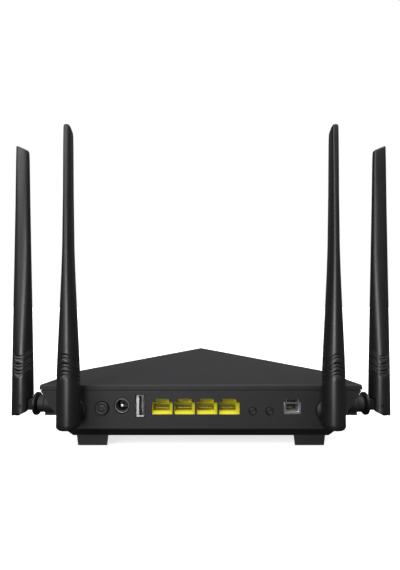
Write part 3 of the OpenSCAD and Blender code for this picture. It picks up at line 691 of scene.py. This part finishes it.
def make_lan():
    """Yellow block of four sockets with stepped mouths, and in each a ledge, a back wall and wires."""
    x0, x1, y0, y1, z0, z1 = extent("lan_socket_block")
    floor = z0 + 3.4
    first = (x0 + x1) / 2 - (LAN_COUNT - 1) / 2 * LAN_PITCH
    centres = [first + k * LAN_PITCH for k in range(LAN_COUNT)]
    body, mouths, cores = bmesh.new(), bmesh.new(), bmesh.new()
    block(body, x0, x1, y0, y1, z0, z1)
    wide = [(x - 0.1, z) for x, z in t_outline(6.35, 4.2, z0 + 1.75, z0 + 9.4, z0 + 11.5)]
    narrow = [(x - 0.95, z) for x, z in t_outline(5.35, 3.2, floor, z0 + 9.1, z0 + 11.2)]
    for x in centres:
        prism(mouths, [(wide, y0 - 1), (wide, y0), (narrow, y0 + 1.7), (narrow, y0 + 4.6)], x)
        block(cores, x - 6.25, x + 4.35, y0 + 4.4, y0 + 13, floor - 1.5, z0 + 7.1)
    piece("lan_housing", shaped(body, [mouths, cores], bevel=0.12), "case", "lan_yellow", "lan_socket_block")

    carriers, wires = bmesh.new(), bmesh.new()
    side = [(y0 + 4.6, floor - 1.6), (y0 + 4.6, floor - 0.6), (y0 + 10, floor - 0.6), (y0 + 10, z0 + 7),
            (y0 + 13.2, z0 + 7), (y0 + 13.2, floor - 1.6)]
    for x in centres:
        loft(carriers, [[at(x + edge, y, z) for y, z in side] for edge in (-6.2, 4.3)])
        contact_row(wires, x - 0.5, floor + 0.9, y0 + 3.8, 8, 0.5)
    piece("lan_contact_carriers", shaped(carriers, bevel=0.12), "case", "lan_yellow")
    piece("lan_contact_wires", shaped(wires), "case", "gold_contact", "lan_contacts")


def make_line():
    """Grey socket: a face in the panel's window, a body behind it, wires in its mouth, and a black block
    behind them as painted shade.
    """
    x0, x1, y0, y1, z0, z1 = extent("line_socket_body")
    x = (x0 + x1) / 2
    face = z0 + 1.9                       # lowest edge of the face in the panel's window
    rear, nose, mouth, core, guide, painted_shade_part, wires = (bmesh.new() for _ in range(7))
    block(rear, x0, x1, 2.7, y1, z0, z1)
    prism(nose, [(t_outline(5.35, 3.95, face, face + 7.6, face + 9.6), y) for y in (y0, y1 - 1)], x)
    wide = t_outline(4.25, 3.65, face + 1.05, face + 7.15, face + 9.35)
    narrow = t_outline(3.65, 3.4, face + 1.7, face + 7.15, face + 9.4)
    prism(mouth, [(wide, y0 - 1), (wide, y0 + 0.9), (narrow, y0 + 0.95), (narrow, y0 + 9)], x)
    block(core, x - 3.2, x + 3.2, y0 + 8.9, y1 - 0.8, face + 2, face + 8.8)
    piece("line_socket_housing", shaped(rear, [mouth, core], [nose], bevel=0.1), "case", "line_grey",
          "line_socket_body")
    block(guide, x - 3.7, x + 3.7, y0 + 1.1, y0 + 2, face + 6.3, face + 7)
    piece("line_latch_guide", shaped(guide, bevel=0.12), "case", "line_grey")
    # black block across the back of the mouth: painted shade, darkening the socket's deep inside
    block(painted_shade_part, x - 3.6, x + 3.6, y0 + 7.6, y0 + 8.8, face + 1.75, face + 9.3)
    piece("line_painted_shade_block", shaped(painted_shade_part, bevel=0.12), "case", "chip_black")
    contact_row(wires, x - 0.9, face + 2.2, y0 + 6, 4, 0.35)
    piece("line_contact_wires", shaped(wires), "case", "gold_contact", "line_contacts")


# ================= underside =================
FOOT_PLACES = [(69, 9), (-69, 9), (38, 84), (-38, 84)]           # x and y, as at() measures them
SCREW_PLACES = [(79, 30), (-79, 30), (28, 101), (-28, 101)]


def make_feet():
    """Rubber pads with rounded corners and three grip grooves each."""
    top = extent("rubber_feet")[5]
    pads, grooves = bmesh.new(), bmesh.new()
    for x, y in FOOT_PLACES:
        slab(pads, rounded_box_outline(x - 6.2, x + 6.2, y - 3.2, y + 3.2, 1.6), 0, top)
        for step in (-1.8, 0, 1.8):
            block(grooves, x - 4.6, x + 4.6, y + step - 0.3, y + step + 0.3, -1, 0.25)
    piece("foot_pads", shaped(pads, [grooves], bevel=0.12), "case", "foot_rubber", "rubber_feet")


def make_screws():
    """Pan-head screws with a cross recess, driven up through the floor of the case."""
    z0, z1 = extent("case_screws")[4:]
    profile = [(0.6, z1), (1.35, z1 - 1.4), (1.35, z0 + 1.8), (2.8, z0 + 1.8), (2.8, z0 + 0.8),
               (2.6, z0 + 0.35), (2.1, z0 + 0.06), (1.6, z0)]
    cross = [(-1.6, -0.35), (-0.35, -0.35), (-0.35, -1.6), (0.35, -1.6), (0.35, -0.35), (1.6, -0.35),
             (1.6, 0.35), (0.35, 0.35), (0.35, 1.6), (-0.35, 1.6), (-0.35, 0.35), (-1.6, 0.35)]
    shanks, slots = bmesh.new(), bmesh.new()
    for x, y in SCREW_PLACES:
        loft(shanks, [[at(x + radius * math.cos(a), y + radius * math.sin(a), z) for a in circle(40)]
                      for radius, z in profile])
        slab(slots, [(x + u, y + v) for u, v in cross], z0 - 1, z0 + 1.1)
    piece("cross_head_screws", shaped(shanks, [slots]), "case", "screw_steel", "case_screws")


def make_plate():
    """Blank rating plate: rounded corners and empty pressed fields."""
    _, x1, y0, y1, z0, z1 = extent("rating_plate")
    plate, fields = bmesh.new(), bmesh.new()
    slab(plate, rounded_box_outline(-x1, x1, y0, y1, 1.5), z0, z1)
    for left, right in ((-x1 + 2, -x1 + 22), (-x1 + 25, x1 - 20), (x1 - 17, x1 - 2)):
        block(fields, left, right, y0 + 1.6, y1 - 1.6, z0 - 1, z0 + 0.05)
    piece("blank_rating_plate", shaped(plate, [fields]), "case", "label_foil", "rating_plate")


make_pins()
make_antennas()
make_feet()
make_screws()
make_plate()
make_buttons()
make_inlet()
make_usb()
make_lan()
make_line()


def corners(box):
    """A box's two corners as plain lists."""
    return [list(box[0]), list(box[1])]
